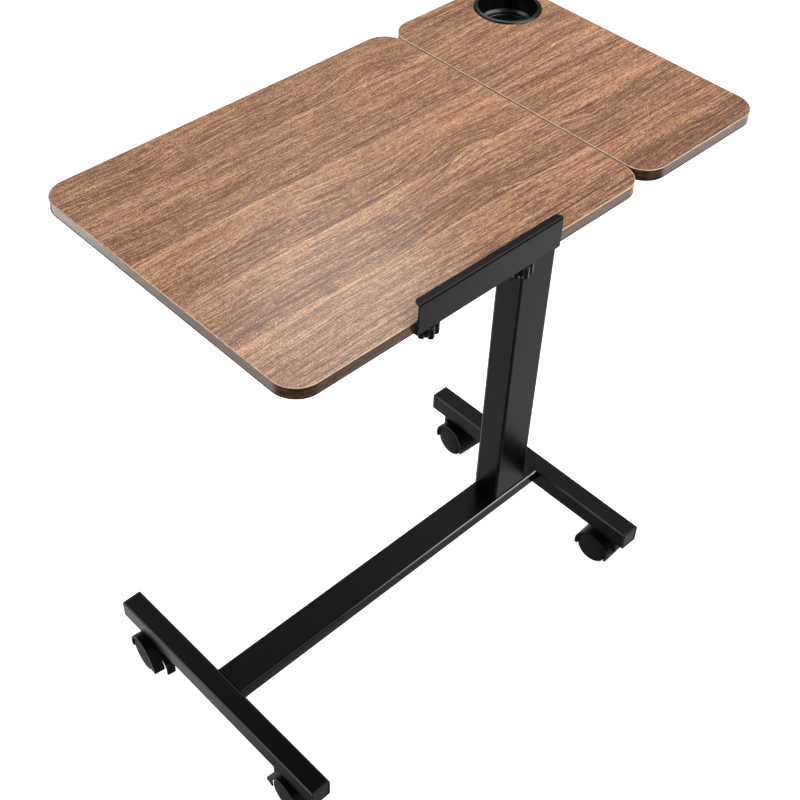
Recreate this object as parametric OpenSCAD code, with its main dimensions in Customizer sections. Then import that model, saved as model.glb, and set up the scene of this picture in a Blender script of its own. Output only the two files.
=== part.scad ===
/* [Tops] */
// Length of the tilting main top along X
main_w = 491; // [400:1:560]
// Length of the fixed side top along X
side_w = 204.5; // [190:0.5:240]
// Depth of both tops along Y
top_d = 400; // [360:1:440]
// Thickness of both tops
top_t = 14; // [12:0.5:18]
// Gap between the two tops
seam = 1.5; // [1:0.5:4]
// Corner radius of both tops
corner_r = 30; // [15:1:45]
// Thickness of the edge band
band_t = 1; // [0.5:0.5:2]
// Height of the working surface at the middle of the lift
top_h = 795; // [780:1:810]
// X of the left edge of the main top
top_x0 = -342.5; // [-346:0.5:-338]

/* [Stop bar] */
// Length of the stop bar
bar_l = 200; // [160:1:260]
// X of the middle of the stop bar
bar_x = -93.5; // [-120:0.5:-60]
// Height of the stop bar above the working surface
bar_up = 23; // [12:0.5:30]
// Width of its top lip
lip_w = 9; // [6:0.5:14]
// Sheet thickness of the stop bar
bar_t = 1.5; // [1:0.5:2]
// Distance of each star knob from the middle of the bar
bar_knob_dx = 67; // [50:1:75]
// Shift of the pair of star knobs from the middle of the bar
bar_knob_off = -5; // [-8:0.5:8]

/* [Base] */
// Width of the square foot tubes
foot_w = 30; // [28:1:32]
// Length of the feet along Y, end caps included
foot_l = 402; // [360:2:440]
// Underside of the feet above the floor
foot_z = 61; // [60:0.5:64]
// X of the middle of the left foot
left_foot_x = -321.5; // [-330:0.5:-300]
// X of the middle of the right foot
right_foot_x = 291; // [285:0.5:300]
// Width of the rail tube
rail_w = 50; // [44:1:56]
// Height of the rail tube
rail_h = 20; // [16:1:26]
// Wall of the base tubes
tube_t = 1.5; // [1:0.25:2]

/* [Column] */
// X of the column's axis
col_x = 217.5; // [212:0.5:222]
// Outer column size along X
col_w = 64; // [62:1:66]
// Outer column size along Y
col_d = 44; // [42:1:46]
// Wall of the outer column
col_t = 2; // [2:0.5:2]
// Length of the outer column
col_l = 470; // [440:1:490]

/* [Casters] */
// Wheel radius
wheel_r = 25; // [24:0.5:25]
// Distance from the swivel axis to the wheel axle
trail = 24; // [22:0.5:25]
// Distance of each caster stem from the end of its foot
stem_in = 26.5; // [24:0.5:32]
// Swivel angle of the back left caster
yaw_bl = -7; // [-20:0.5:20]
// Swivel angle of the front left caster
yaw_fl = -3.5; // [-20:0.5:20]
// Swivel angle of the back right caster
yaw_br = -4; // [-20:0.5:20]
// Swivel angle of the front right caster
yaw_fr = 3; // [-20:0.5:20]

/* [Tilt] */
// Radius of the tilt shaft
shaft_r = 12.5; // [12.5:0.5:12.5]
// Depth of the tilt axis below the working surface
shaft_dz = 37; // [37:1:37]
// Largest tilt of the main top, in degrees
tilt_max = 45; // [30:1:45]

/* [Cup holder] */
// X of the cup holder
cup_x = 301.5; // [296:0.5:304]
// Y of the cup holder
cup_y = 143; // [135:1:148]
// Inside radius of the cup holder
cup_r = 37; // [34:0.5:38]
// Radius of its flange
cup_flange_r = 42.5; // [41:0.5:44]
// Depth below the working surface
cup_depth = 25; // [20:1:32]

/* [Hidden] */
$fn = 64;
FRAME = "#202123";
PLASTIC = "#17181a";
STEEL = "#9a9da1";
WALNUT = "#8f5f3f";
top_bot = top_h - top_t;
main_cx = top_x0 + main_w / 2;
side_x0 = top_x0 + main_w + seam;
side_cx = side_x0 + side_w / 2;
foot_top = foot_z + foot_w;
rail_x0 = left_foot_x + foot_w / 2;
rail_x1 = right_foot_x - foot_w / 2;
cap_t = 3;
col_z = foot_top;
col_top = col_z + col_l;
in_w = col_w - 2 * col_t;
in_d = col_d - 2 * col_t;
mast_w = 50;
mast_d = 30;
mast_t = 1.5;
mast_z0 = 281;
run = 0.05;
lock_z = col_top - 36;
shaft_z = top_h - shaft_dz;
chan_z0 = shaft_z - 17;
chan_x0 = side_x0 + 5;
chan_x1 = 330;
chan_w = 70;
chan_t = 3;
flange_out = 30;
shaft_x0 = -235;
shaft_x1 = 312;
shaft_wall = 2;
plate_x = [chan_x0 + 2, 300];
lb_x = -180;
rb_x = 90;
ear_dx = 20;
ear_t = 3;
ear_r = 22;
bush_r = 14.5;
quad_x = rb_x + ear_dx + 5.5;
quad_t = 4;
lock_r = 42;
lock_a0 = -tilt_max / 2;
lock_y = lock_r * sin(lock_a0);
lock_dz = -lock_r * cos(lock_a0);
pad_t = 3;
bar_front = -top_d / 2 - pad_t - bar_t;
bend = 2.5;
knob_y = -top_d / 2 + 12;
knob_x = [bar_x + bar_knob_off - bar_knob_dx, bar_x + bar_knob_off + bar_knob_dx];
knob_h = 21.8;
stem_y = foot_l / 2 - stem_in;
axle_z = wheel_r;
hood_r = 29.8;
hood_in = 26;
hood_w = 22.2;
tail_y = 36.5;
web_w = 3.5;
cheek_in = 6.8;
cheek_out = 8.6;

// ---------- shared outlines ----------
module rrect(w, d, r) {
  square([w - 2 * r, d], center = true);
  square([w, d - 2 * r], center = true);
  for (sx = [-1, 1], sy = [-1, 1])
    translate([sx * (w / 2 - r), sy * (d / 2 - r)]) circle(r = r);
}
module ring(w, d, t, r) {
  difference() {
    rrect(w, d, r);
    rrect(w - 2 * t, d - 2 * t, max(r - t, 0.4));
  }
}
module along_x(x0, x1) {
  translate([x0, 0, 0]) rotate([90, 0, 90]) linear_extrude(x1 - x0) children();
}
module along_y(y0, y1) {
  translate([0, y1, 0]) rotate([90, 0, 0]) linear_extrude(y1 - y0) children();
}
module rod_x(x0, x1, r) { translate([x0, 0, 0]) rotate([0, 90, 0]) cylinder(h = x1 - x0, r = r); }
module rod_y(y0, y1, r) { translate([0, y1, 0]) rotate([90, 0, 0]) cylinder(h = y1 - y0, r = r); }

// Star hand knob, grip face at z = 0, shank side up: lobes, hub and a shallow dished cap
module star(r, h, hub_r, hub_h, lobes) {
  difference() {
    union() {
      linear_extrude(h) {
        circle(r = r * 0.72);
        for (i = [0:lobes - 1]) rotate(i * 360 / lobes + 90 / lobes) translate([r * 0.72, 0]) circle(r = r * 0.28);
      }
      cylinder(h = h + hub_h, r = hub_r);
    }
    translate([0, 0, -0.1]) cylinder(h = 0.9, r1 = r * 0.5 + 0.1, r2 = r * 0.5 - 0.8);
  }
}

// ---------- base ----------
module foot_tube(x) {
  difference() {
    translate([x, 0, foot_z + foot_w / 2])
      along_y(-foot_l / 2 + cap_t, foot_l / 2 - cap_t) ring(foot_w, foot_w, tube_t, 2.5);
    for (s = [-1, 1]) translate([x, s * stem_y, foot_z - 1]) cylinder(h = tube_t + 2, r = 5);
  }
}
module left_foot_tube() { color(FRAME) foot_tube(left_foot_x); }
module right_foot_tube() { color(FRAME) foot_tube(right_foot_x); }

module rail_tube() {
  color(FRAME) difference() {
    translate([0, 0, foot_top - rail_h / 2]) along_x(rail_x0, rail_x1) ring(rail_w, rail_h, tube_t, 2.5);
    for (s = [-1, 1]) translate([col_x + s * 18, 0, foot_top - rail_h - 1]) cylinder(h = rail_h + 2, r = 4.25);
  }
}

// End plugs of the four foot ends: a cap with a raised rim and a spigot inside the tube
module foot_end_caps() {
  color(PLASTIC)
    for (x = [left_foot_x, right_foot_x], s = [-1, 1])
      translate([x, 0, foot_z + foot_w / 2]) mirror([0, s < 0 ? 1 : 0, 0]) difference() {
        union() {
          along_y(foot_l / 2 - cap_t, foot_l / 2) rrect(foot_w, foot_w, 2.5);
          along_y(foot_l / 2 - cap_t - 12, foot_l / 2 - cap_t) rrect(foot_w - 2 * tube_t, foot_w - 2 * tube_t, 1);
        }
        along_y(foot_l / 2 - cap_t - 13, foot_l / 2 - cap_t) rrect(foot_w - 2 * tube_t - 4, foot_w - 2 * tube_t - 4, 1);
        along_y(foot_l / 2 - 0.7, foot_l / 2 + 1) rrect(foot_w - 5, foot_w - 5, 1.5);
      }
}

// Threaded bosses welded inside the feet, one over each caster
module caster_bosses() {
  color(STEEL)
    for (x = [left_foot_x, right_foot_x], s = [-1, 1])
      translate([x, s * stem_y, foot_z]) difference() {
        union() {
          cylinder(h = tube_t, r = 5);
          translate([0, 0, tube_t]) cylinder(h = 13, r = 8);
        }
        translate([0, 0, -1]) cylinder(h = 20, r = 4);
      }
}

// Screw-in caster stems: thread, collar and swivel pin
module caster_stems() {
  color(STEEL)
    for (x = [left_foot_x, right_foot_x], s = [-1, 1])
      translate([x, s * stem_y, 0]) {
        translate([0, 0, 32]) cylinder(h = foot_z - 32 - 2, r = 5);
        translate([0, 0, foot_z - 2.5]) cylinder(h = 2.5, r = 8.5);
        translate([0, 0, foot_z - 1]) cylinder(h = 15, r = 4 - run);
      }
}

module column_outer_tube() {
  color(FRAME) difference() {
    translate([col_x, 0, col_z]) linear_extrude(col_l) ring(col_w, col_d, col_t, 4);
    translate([col_x, 0, lock_z]) rod_y(col_d / 2 - col_t - 1, col_d / 2 + 1, 7);
  }
}

// Block welded in the foot of the column, tapped for the two column bolts
module column_base_block() {
  color(STEEL) translate([col_x, 0, col_z]) difference() {
    linear_extrude(30) rrect(in_w, in_d, 2);
    for (s = [-1, 1]) translate([s * 18, 0, -1]) cylinder(h = 28, r = 4);
  }
}

// Hex bolts up through the rail into the column block
module column_bolts() {
  color(STEEL)
    for (s = [-1, 1]) translate([col_x + s * 18, 0, foot_top - rail_h]) {
      translate([0, 0, -7.2]) cylinder(h = 5.4, r = 7.5, $fn = 6);
      translate([0, 0, -1.8]) cylinder(h = 1.8, r = 9);
      translate([0, 0, -1.8]) cylinder(h = rail_h + 1.8 + 22, r = 4);
    }
}

// Plastic guide pressed into the top of the outer column
module guide_bush() {
  color(PLASTIC) translate([col_x, 0, 0]) difference() {
    union() {
      translate([0, 0, col_top]) linear_extrude(3) rrect(col_w, col_d, 4);
      translate([0, 0, col_top + 3]) linear_extrude(1.2) rrect(col_w - 3, col_d - 3, 3);
      translate([0, 0, col_top - 60]) linear_extrude(60) rrect(in_w, in_d, 2);
    }
    translate([0, 0, col_top - 61]) linear_extrude(70) rrect(mast_w + 2 * run, mast_d + 2 * run, 3 + run);
    translate([0, 0, lock_z]) rod_y(mast_d / 2 - 2, in_d / 2 + 1, 7);
  }
}

// Welded boss on the back of the column that the height stud screws through
module height_boss() {
  color(STEEL) translate([col_x, 0, lock_z]) difference() {
    union() {
      rod_y(col_d / 2, col_d / 2 + 10, 11);
      rod_y(col_d / 2 - col_t, col_d / 2, 7);
    }
    rod_y(in_d / 2 - 1, col_d / 2 + 11, 4);
  }
}
module pressure_pad() {
  color(STEEL) translate([col_x, 0, lock_z]) rod_y(mast_d / 2 + run, in_d / 2 - 0.1, 6.5);
}

// ---------- height knob ----------
module height_knob() {
  color(PLASTIC) translate([col_x, 0, lock_z]) difference() {
    translate([0, col_d / 2 + 10.5 + 22, 0]) rotate([90, 0, 0]) star(21, 15, 11, 7, 5);
    rod_y(col_d / 2 + 10, col_d / 2 + 10.5 + 17, 4 - run);
  }
}
module height_stud() {
  color(STEEL) translate([col_x, 0, lock_z]) rod_y(in_d / 2, col_d / 2 + 10.5 + 17, 4 - run);
}

// ---------- mast and side top ----------
module column_inner_tube() {
  color(FRAME) translate([col_x, 0, mast_z0]) linear_extrude(chan_z0 - mast_z0) ring(mast_w, mast_d, mast_t, 3);
}

// Glide on the lower end of the inner tube
module mast_glide() {
  color(PLASTIC) translate([col_x, 0, mast_z0 - 3]) difference() {
    linear_extrude(33) rrect(in_w - 2 * run, in_d - 2 * run, 2);
    translate([0, 0, 3]) linear_extrude(40) ring(mast_w, mast_d, mast_t, 3);
    translate([0, 0, -1]) linear_extrude(40) rrect(mast_w - 2 * mast_t - 6, mast_d - 2 * mast_t - 6, 2);
  }
}

// Bent channel on top of the mast, flanges out under the side top
module head_channel() {
  h = top_bot - chan_z0;
  color(FRAME) difference() {
    translate([0, 0, chan_z0]) along_x(chan_x0, chan_x1) {
      translate([-chan_w / 2, 0]) square([chan_w, chan_t]);
      for (s = [-1, 1]) {
        translate([s > 0 ? chan_w / 2 - chan_t : -chan_w / 2, 0]) square([chan_t, h]);
        translate([s > 0 ? chan_w / 2 - chan_t : -chan_w / 2 - flange_out, h - chan_t]) square([flange_out + chan_t, chan_t]);
      }
    }
    for (x = [chan_x0 + 22, chan_x1 - 22], s = [-1, 1])
      translate([x, s * (chan_w / 2 + 13), top_bot - chan_t - 1]) cylinder(h = chan_t + 2, r = 2.3);
  }
}

// Upright plates in the channel that carry the tilt shaft
module shaft_plates() {
  color(FRAME)
    for (x = plate_x)
      translate([0, 0, shaft_z]) difference() {
        along_x(x, x + 4) translate([-chan_w / 2 + chan_t, chan_z0 + chan_t - shaft_z])
          square([chan_w - 2 * chan_t, top_bot - chan_z0 - chan_t - 1]);
        rod_x(x - 1, x + 5, shaft_r);
      }
}
module tilt_shaft() {
  color(FRAME) translate([0, 0, shaft_z]) difference() {
    rod_x(shaft_x0, shaft_x1, shaft_r);
    rod_x(shaft_x0 - 1, shaft_x1 + 1, shaft_r - shaft_wall);
  }
}
module shaft_end_caps() {
  color(PLASTIC) translate([0, 0, shaft_z]) {
    rod_x(shaft_x0 - 2.5, shaft_x0, shaft_r);
    rod_x(shaft_x0 - 1, shaft_x0 + 12, shaft_r - shaft_wall);
    rod_x(shaft_x1, shaft_x1 + 2.5, shaft_r);
    rod_x(shaft_x1 - 12, shaft_x1 + 1, shaft_r - shaft_wall);
  }
}

// Collar that keeps the main top from sliding left on the shaft
module shaft_collar() {
  color(STEEL) translate([0, 0, shaft_z]) difference() {
    rod_x(lb_x - ear_dx - 2.3 - 8, lb_x - ear_dx - 2.3, 17);
    rod_x(lb_x - ear_dx - 12, lb_x - ear_dx, shaft_r);
    translate([lb_x - ear_dx - 6.3, 0, -20]) cylinder(h = 12, r = 2.5);
  }
}

// Arc slot: width 2 r, radius R, from angle a to angle b measured from straight down
module arc_slot(R, r, a, b) {
  intersection() {
    difference() {
      circle(r = R + r);
      circle(r = R - r);
    }
    polygon([[0, 0], [2 * R * sin(a), -2 * R * cos(a)], [3 * R * sin((a + b) / 2), -3 * R * cos((a + b) / 2)], [2 * R * sin(b), -2 * R * cos(b)]]);
  }
  for (q = [a, b]) translate([R * sin(q), -R * cos(q)]) circle(r = r);
}

// Slotted plate fixed on the shaft; the tilt lock bolt runs in its arc
module tilt_quadrant() {
  a = tilt_max / 2;
  color(FRAME) translate([0, 0, shaft_z]) along_x(quad_x, quad_x + quad_t) difference() {
    union() {
      circle(r = 21);
      intersection() {
        circle(r = lock_r + 13);
        polygon([[0, 0], [-90 * sin(a + 17), -90 * cos(a + 17)], [90 * sin(a + 17), -90 * cos(a + 17)]]);
      }
    }
    circle(r = shaft_r);
    arc_slot(lock_r, 4.3, -a - 0.6, a + 0.6);
  }
}

module board(w, cx) { translate([cx, 0, top_bot]) linear_extrude(top_t) rrect(w - 2 * band_t, top_d - 2 * band_t, corner_r - band_t); }
module band(w, cx) { translate([cx, 0, top_bot]) linear_extrude(top_t) ring(w, top_d, band_t, corner_r); }

module side_top() {
  color(WALNUT) difference() {
    board(side_w, side_cx);
    translate([cup_x, cup_y, top_bot - 1]) cylinder(h = top_t + 2, r = cup_r + 2.2);
    for (x = [chan_x0 + 22, chan_x1 - 22], s = [-1, 1])
      translate([x, s * (chan_w / 2 + 13), top_bot - 1]) cylinder(h = 11, r = 2);
  }
}
module side_top_edge_band() { color("#a5704d") band(side_w, side_cx); }

// Pan-head screw, head underside at z = 0, point up
module screw(l) {
  cylinder(h = l, r = 2);
  translate([0, 0, -2.2]) cylinder(h = 2.2, r = 4);
}
module side_top_screws() {
  color(STEEL)
    for (x = [chan_x0 + 22, chan_x1 - 22], s = [-1, 1])
      translate([x, s * (chan_w / 2 + 13), top_bot - chan_t]) screw(chan_t + 9);
}

// ---------- cup holder ----------
module cup_holder() {
  zf = -cup_depth;
  color(PLASTIC) translate([cup_x, cup_y, top_h]) rotate_extrude() {
    polygon([[0, zf - 2], [cup_r - 4, zf - 2], [cup_r + 1, zf + 3], [cup_r + 1.8, -1], [cup_r + 1.8, 0], [cup_flange_r, 0],
      [cup_flange_r, 0.9], [cup_flange_r - 1.3, 2], [cup_r + 1.2, 2.4], [cup_r + 0.3, 2.2], [cup_r, 1.6], [cup_r, zf + 3.5], [cup_r - 3.5, zf], [0, zf]]);
  }
}

// ---------- tilting main top ----------
module main_top() {
  color(WALNUT) difference() {
    board(main_w, main_cx);
    for (c = [lb_x, rb_x], dx = [-11, 11], s = [-1, 1])
      translate([c + dx, s * 72, top_bot - 1]) cylinder(h = 11, r = 2);
    for (x = knob_x) translate([x, knob_y, top_bot - 1]) cylinder(h = 12, r = 4.75);
  }
}
module main_top_edge_band() { color("#a5704d") band(main_w, main_cx); }

// Saddle bracket: plate screwed under the top and two ears round the shaft
module saddle(c) {
  difference() {
    union() {
      translate([c, 0, top_bot - 3]) linear_extrude(3) rrect(50, 170, 6);
      for (s = [-1, 1])
        translate([0, 0, shaft_z]) along_x(c + s * ear_dx - (s > 0 ? ear_t : 0), c + s * ear_dx + (s > 0 ? 0 : ear_t)) {
          circle(r = ear_r);
          polygon([[-40, top_bot - shaft_z - 2], [40, top_bot - shaft_z - 2], [ear_r * cos(25), -ear_r * sin(25)], [-ear_r * cos(25), -ear_r * sin(25)]]);
        }
    }
    translate([0, 0, shaft_z]) rod_x(c - 40, c + 40, bush_r);
    for (dx = [-11, 11], s = [-1, 1])
      translate([c + dx, s * 72, top_bot - 4]) cylinder(h = 5, r = 2.3);
  }
}
module left_tilt_bracket() { color(FRAME) saddle(lb_x); }
module right_tilt_bracket() {
  color(FRAME) difference() {
    union() {
      saddle(rb_x);
      translate([0, 0, shaft_z]) along_x(rb_x + ear_dx - ear_t, rb_x + ear_dx) difference() {
        union() {
          translate([lock_y, lock_dz]) circle(r = 11);
          polygon([[-ear_r, 0], [lock_y - 11 * cos(lock_a0), lock_dz - 11 * sin(lock_a0)], [lock_y + 11 * cos(lock_a0), lock_dz + 11 * sin(lock_a0)], [ear_r * cos(45), -ear_r * sin(45)], [0, 0]]);
        }
        circle(r = bush_r);
      }
    }
    translate([0, lock_y, shaft_z + lock_dz]) rod_x(rb_x + ear_dx - 5, rb_x + ear_dx + 2, 4);
  }
}

// Flanged bushes, one in each ear
module tilt_bushes() {
  color("#d9d7cf")
    for (c = [lb_x, rb_x], s = [-1, 1])
      translate([c, 0, shaft_z]) mirror([s < 0 ? 1 : 0, 0, 0]) difference() {
        union() {
          rod_x(ear_dx - ear_t, ear_dx, bush_r);
          rod_x(ear_dx, ear_dx + 2, 17);
        }
        rod_x(ear_dx - 5, ear_dx + 5, shaft_r + run);
      }
}
module bracket_screws() {
  color(STEEL)
    for (c = [lb_x, rb_x], dx = [-11, 11], s = [-1, 1])
      translate([c + dx, s * 72, top_bot - 3]) screw(12);
}

// Carriage bolt: domed head, shank through the ear, the quadrant slot and the knob
module tilt_lock_bolt() {
  color(STEEL) translate([0, lock_y, shaft_z + lock_dz]) {
    rod_x(rb_x + ear_dx - ear_t - 3, rb_x + ear_dx - ear_t, 8.5);
    rod_x(rb_x + ear_dx - ear_t, rb_x + ear_dx, 4);
    rod_x(rb_x + ear_dx, quad_x + quad_t + 15, 4 - run);
  }
}
module tilt_lock_knob() {
  color(PLASTIC) translate([0, lock_y, shaft_z + lock_dz]) difference() {
    translate([quad_x + quad_t + 20, 0, 0]) rotate([0, -90, 0]) star(19, 13, 10, 6.6, 5);
    rod_x(quad_x + quad_t - 1, quad_x + quad_t + 16, 4);
  }
}

// Bent sheet bar: lip, web and a flange under the board
module stop_bar() {
  yf = bar_front;
  zb = top_bot - bar_t;
  zt = top_h + bar_up;
  x0 = bar_x - bar_l / 2;
  x1 = bar_x + bar_l / 2;
  fl = 38;
  color(FRAME) difference() {
    along_x(x0, x1) {
      translate([yf, zb + bend]) square([bar_t, zt - zb - 2 * bend]);
      translate([yf + bend, zb]) square([fl - bend, bar_t]);
      translate([yf + bend, zt - bar_t]) square([lip_w - bend, bar_t]);
      translate([yf + bend, zb + bend]) intersection() {
        difference() { circle(r = bend); circle(r = bend - bar_t); }
        translate([-bend, -bend]) square(bend);
      }
      translate([yf + bend, zt - bend]) intersection() {
        difference() { circle(r = bend); circle(r = bend - bar_t); }
        translate([-bend, 0]) square(bend);
      }
    }
    for (s = [-1, 1]) {
      translate([bar_x + s * (bar_l / 2 - 6), yf + lip_w - 6, zt - 5]) difference() {
        translate([s > 0 ? 0 : -7, 0, 0]) cube([7, 7, 10]);
        translate([0, 0, -1]) cylinder(h = 12, r = 6);
      }
      translate([bar_x + s * (bar_l / 2 - 8), yf + fl - 8, zb - 5]) difference() {
        translate([s > 0 ? 0 : -9, 0, 0]) cube([9, 9, 10]);
        translate([0, 0, -1]) cylinder(h = 12, r = 8);
      }
    }
    for (x = knob_x) translate([x, knob_y, zb - 1]) cylinder(h = 5, r = 3.4);
  }
}
module stop_bar_pad() {
  color("#101010") translate([bar_x - bar_l / 2, -top_d / 2 - pad_t, top_bot + 1]) cube([bar_l, pad_t, top_t - 1]);
}
module stop_bar_inserts() {
  color("#b08d57")
    for (x = knob_x) translate([x, knob_y, top_bot]) difference() {
      cylinder(h = 11, r = 4.75);
      translate([0, 0, -1]) cylinder(h = 13, r = 3 + run);
    }
}
module stop_knob(x) {
  translate([x, knob_y, top_bot - bar_t - 0.3 - knob_h]) difference() {
    star(13, knob_h - 5.8, 7.5, 5.8, 6);
    translate([0, 0, knob_h - 13]) cylinder(h = 20, r = 3);
  }
}
module stop_stud(x) {
  translate([x, knob_y, top_bot - bar_t - 0.3 - 13]) cylinder(h = 24.5, r = 3);
}
module left_stop_knob() { color(PLASTIC) stop_knob(knob_x[0]); }
module left_stop_stud() { color(STEEL) stop_stud(knob_x[0]); }
module right_stop_knob() { color(PLASTIC) stop_knob(knob_x[1]); }
module right_stop_stud() { color(STEEL) stop_stud(knob_x[1]); }

// ---------- casters ----------
// Each caster is drawn with its swivel axis on Z, its axle along X and its wheels towards -Y
module place(x, y, yaw, side) {
  translate([x, y, 0]) rotate(yaw) mirror([0, side < 0 ? 1 : 0, 0]) children();
}
module at_axle() { translate([0, -trail, axle_z]) children(); }

// Side outline of the tail behind the wheels of a braked caster, drawn in from its edge by t
module tail(t) {
  polygon([[-22.8 + t, 19.2 - t], [-tail_y + 2.4 + t, 5.9 - t / 2], [-tail_y + t, 1.5], [-tail_y + t, t > 0 ? -20 : -5], [-18, t > 0 ? -20 : -5], [-10, 8]]);
}
module hood(brake) {
  difference() {
    union() {
      // shell over both wheels, drawn out behind them on a braked caster
      at_axle() intersection() {
        difference() {
          union() {
            rod_x(-hood_w, hood_w, hood_r);
            if (brake) along_x(-hood_w, hood_w) tail(0);
          }
          rod_x(-hood_w - 1, hood_w + 1, hood_in);
          if (brake) for (s = [-1, 1])
            along_x(s > 0 ? cheek_out : -hood_w + 2.2, s > 0 ? hood_w - 2.2 : -cheek_out) tail(2.2);
        }
        translate([-40, -60, -7]) cube([80, 100, 60]);
      }
      // centre web
      at_axle() intersection() {
        rod_x(-web_w, web_w, hood_in + 1);
        translate([-10, brake ? -13 : -40, -12]) cube([20, 80, 60]);
      }
      // socket for the stem
      translate([0, 0, 26]) cylinder(h = foot_z - 3.1 - 26, r = 8.2);
      // cheeks that hold the brake lever
      if (brake)
        at_axle() difference() {
          intersection() {
            union() {
              rod_x(-cheek_out, -cheek_in, hood_in + 0.8);
              rod_x(cheek_in, cheek_out, hood_in + 0.8);
              rod_x(-cheek_out, cheek_out, 11.5);
              for (s = [-1, 1]) along_x(s > 0 ? cheek_in : -cheek_out, s > 0 ? cheek_out : -cheek_in) tail(0);
            }
            translate([-20, -40, -8]) cube([40, 42, 60]);
          }
          for (s = [-1, 1]) rod_x(s > 0 ? web_w : -20, s > 0 ? 20 : -web_w, 8.6);
          translate([-cheek_in, -40, -20]) cube([2 * cheek_in, 40 - 12, 80]);
        }
    }
    translate([0, 0, 20]) cylinder(h = 50, r = 5 + run);
    at_axle() rod_x(-20, 20, 3);
    if (brake) {
      at_axle() translate([0, -19, 8]) rod_x(-15, 15, 2 + run);
      translate([-cheek_in, -trail - 40, axle_z - 20]) cube([2 * cheek_in, 40 - 21.5, 34.5]);
    }
  }
}

// Wheel turned about the axle: tread, thin disc, hub and a closed outer face
module wheel(s) {
  at_axle() rotate([0, s * 90, 0]) rotate_extrude()
    polygon([[0, 19.9], [3 + run, 19.9], [3 + run, 4.2], [7, 4.2], [7, 12], [wheel_r - 3.5, 12], [wheel_r - 3.5, 9.3],
      [wheel_r - 0.7, 9.3], [wheel_r, 10], [wheel_r, 19.4], [wheel_r - 1.1, 20.5], [wheel_r - 2.4, 20.8],
      [wheel_r - 2.7, 20.4], [wheel_r - 3.4, 20.4], [wheel_r - 3.8, 21], [12, 21.8], [0, 22]]);
}
module axle() { at_axle() rod_x(-19.5, 19.5, 3); }

// Brake pedal on two trunnions between the cheeks
module lever() {
  at_axle() translate([0, -19, 8]) {
    translate([-6.4, 0, 0]) rotate([90, 0, 90]) linear_extrude(12.8) {
      circle(r = 4.2);
      polygon([[0, 4.2], [-14, 3.2], [-22.5, -1], [-24.6, -7], [-24.6, -21], [-22, -21], [-21.6, -7.5], [-19, -3.2], [-12, -1], [0, -4.2]]);
    }
    rod_x(-8.5, 8.5, 2);
  }
}

module back_left_hood() { color(PLASTIC) place(left_foot_x, stem_y, yaw_bl, 1) hood(true); }
module back_left_outer_wheel() { color("#1c1c1d") place(left_foot_x, stem_y, yaw_bl, 1) wheel(-1); }
module back_left_inner_wheel() { color("#1c1c1d") place(left_foot_x, stem_y, yaw_bl, 1) wheel(1); }
module back_left_axle() { color(STEEL) place(left_foot_x, stem_y, yaw_bl, 1) axle(); }
module back_left_brake_lever() { color(PLASTIC) place(left_foot_x, stem_y, yaw_bl, 1) lever(); }

module front_left_hood() { color(PLASTIC) place(left_foot_x, -stem_y, yaw_fl, -1) hood(true); }
module front_left_outer_wheel() { color("#1c1c1d") place(left_foot_x, -stem_y, yaw_fl, -1) wheel(-1); }
module front_left_inner_wheel() { color("#1c1c1d") place(left_foot_x, -stem_y, yaw_fl, -1) wheel(1); }
module front_left_axle() { color(STEEL) place(left_foot_x, -stem_y, yaw_fl, -1) axle(); }
module front_left_brake_lever() { color(PLASTIC) place(left_foot_x, -stem_y, yaw_fl, -1) lever(); }

module back_right_hood() { color(PLASTIC) place(right_foot_x, stem_y, yaw_br, 1) hood(false); }
module back_right_outer_wheel() { color("#1c1c1d") place(right_foot_x, stem_y, yaw_br, 1) wheel(1); }
module back_right_inner_wheel() { color("#1c1c1d") place(right_foot_x, stem_y, yaw_br, 1) wheel(-1); }
module back_right_axle() { color(STEEL) place(right_foot_x, stem_y, yaw_br, 1) axle(); }

module front_right_hood() { color(PLASTIC) place(right_foot_x, -stem_y, yaw_fr, -1) hood(false); }
module front_right_outer_wheel() { color("#1c1c1d") place(right_foot_x, -stem_y, yaw_fr, -1) wheel(1); }
module front_right_inner_wheel() { color("#1c1c1d") place(right_foot_x, -stem_y, yaw_fr, -1) wheel(-1); }
module front_right_axle() { color(STEEL) place(right_foot_x, -stem_y, yaw_fr, -1) axle(); }

left_foot_tube();
right_foot_tube();
rail_tube();
foot_end_caps();
caster_bosses();
caster_stems();
column_outer_tube();
column_base_block();
column_bolts();
guide_bush();
height_boss();
pressure_pad();
height_knob();
height_stud();
column_inner_tube();
mast_glide();
head_channel();
shaft_plates();
tilt_shaft();
shaft_end_caps();
shaft_collar();
tilt_quadrant();
side_top();
side_top_edge_band();
side_top_screws();
cup_holder();
main_top();
main_top_edge_band();
left_tilt_bracket();
right_tilt_bracket();
tilt_bushes();
bracket_screws();
stop_bar();
stop_bar_pad();
stop_bar_inserts();
tilt_lock_bolt();
tilt_lock_knob();
left_stop_knob();
left_stop_stud();
right_stop_knob();
right_stop_stud();
back_left_hood();
back_left_outer_wheel();
back_left_inner_wheel();
back_left_axle();
back_left_brake_lever();
front_left_hood();
front_left_outer_wheel();
front_left_inner_wheel();
front_left_axle();
front_left_brake_lever();
back_right_hood();
back_right_outer_wheel();
back_right_inner_wheel();
back_right_axle();
front_right_hood();
front_right_outer_wheel();
front_right_inner_wheel();
front_right_axle();
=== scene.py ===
import math

import bmesh
import bpy
from mathutils import Matrix, Vector


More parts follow.
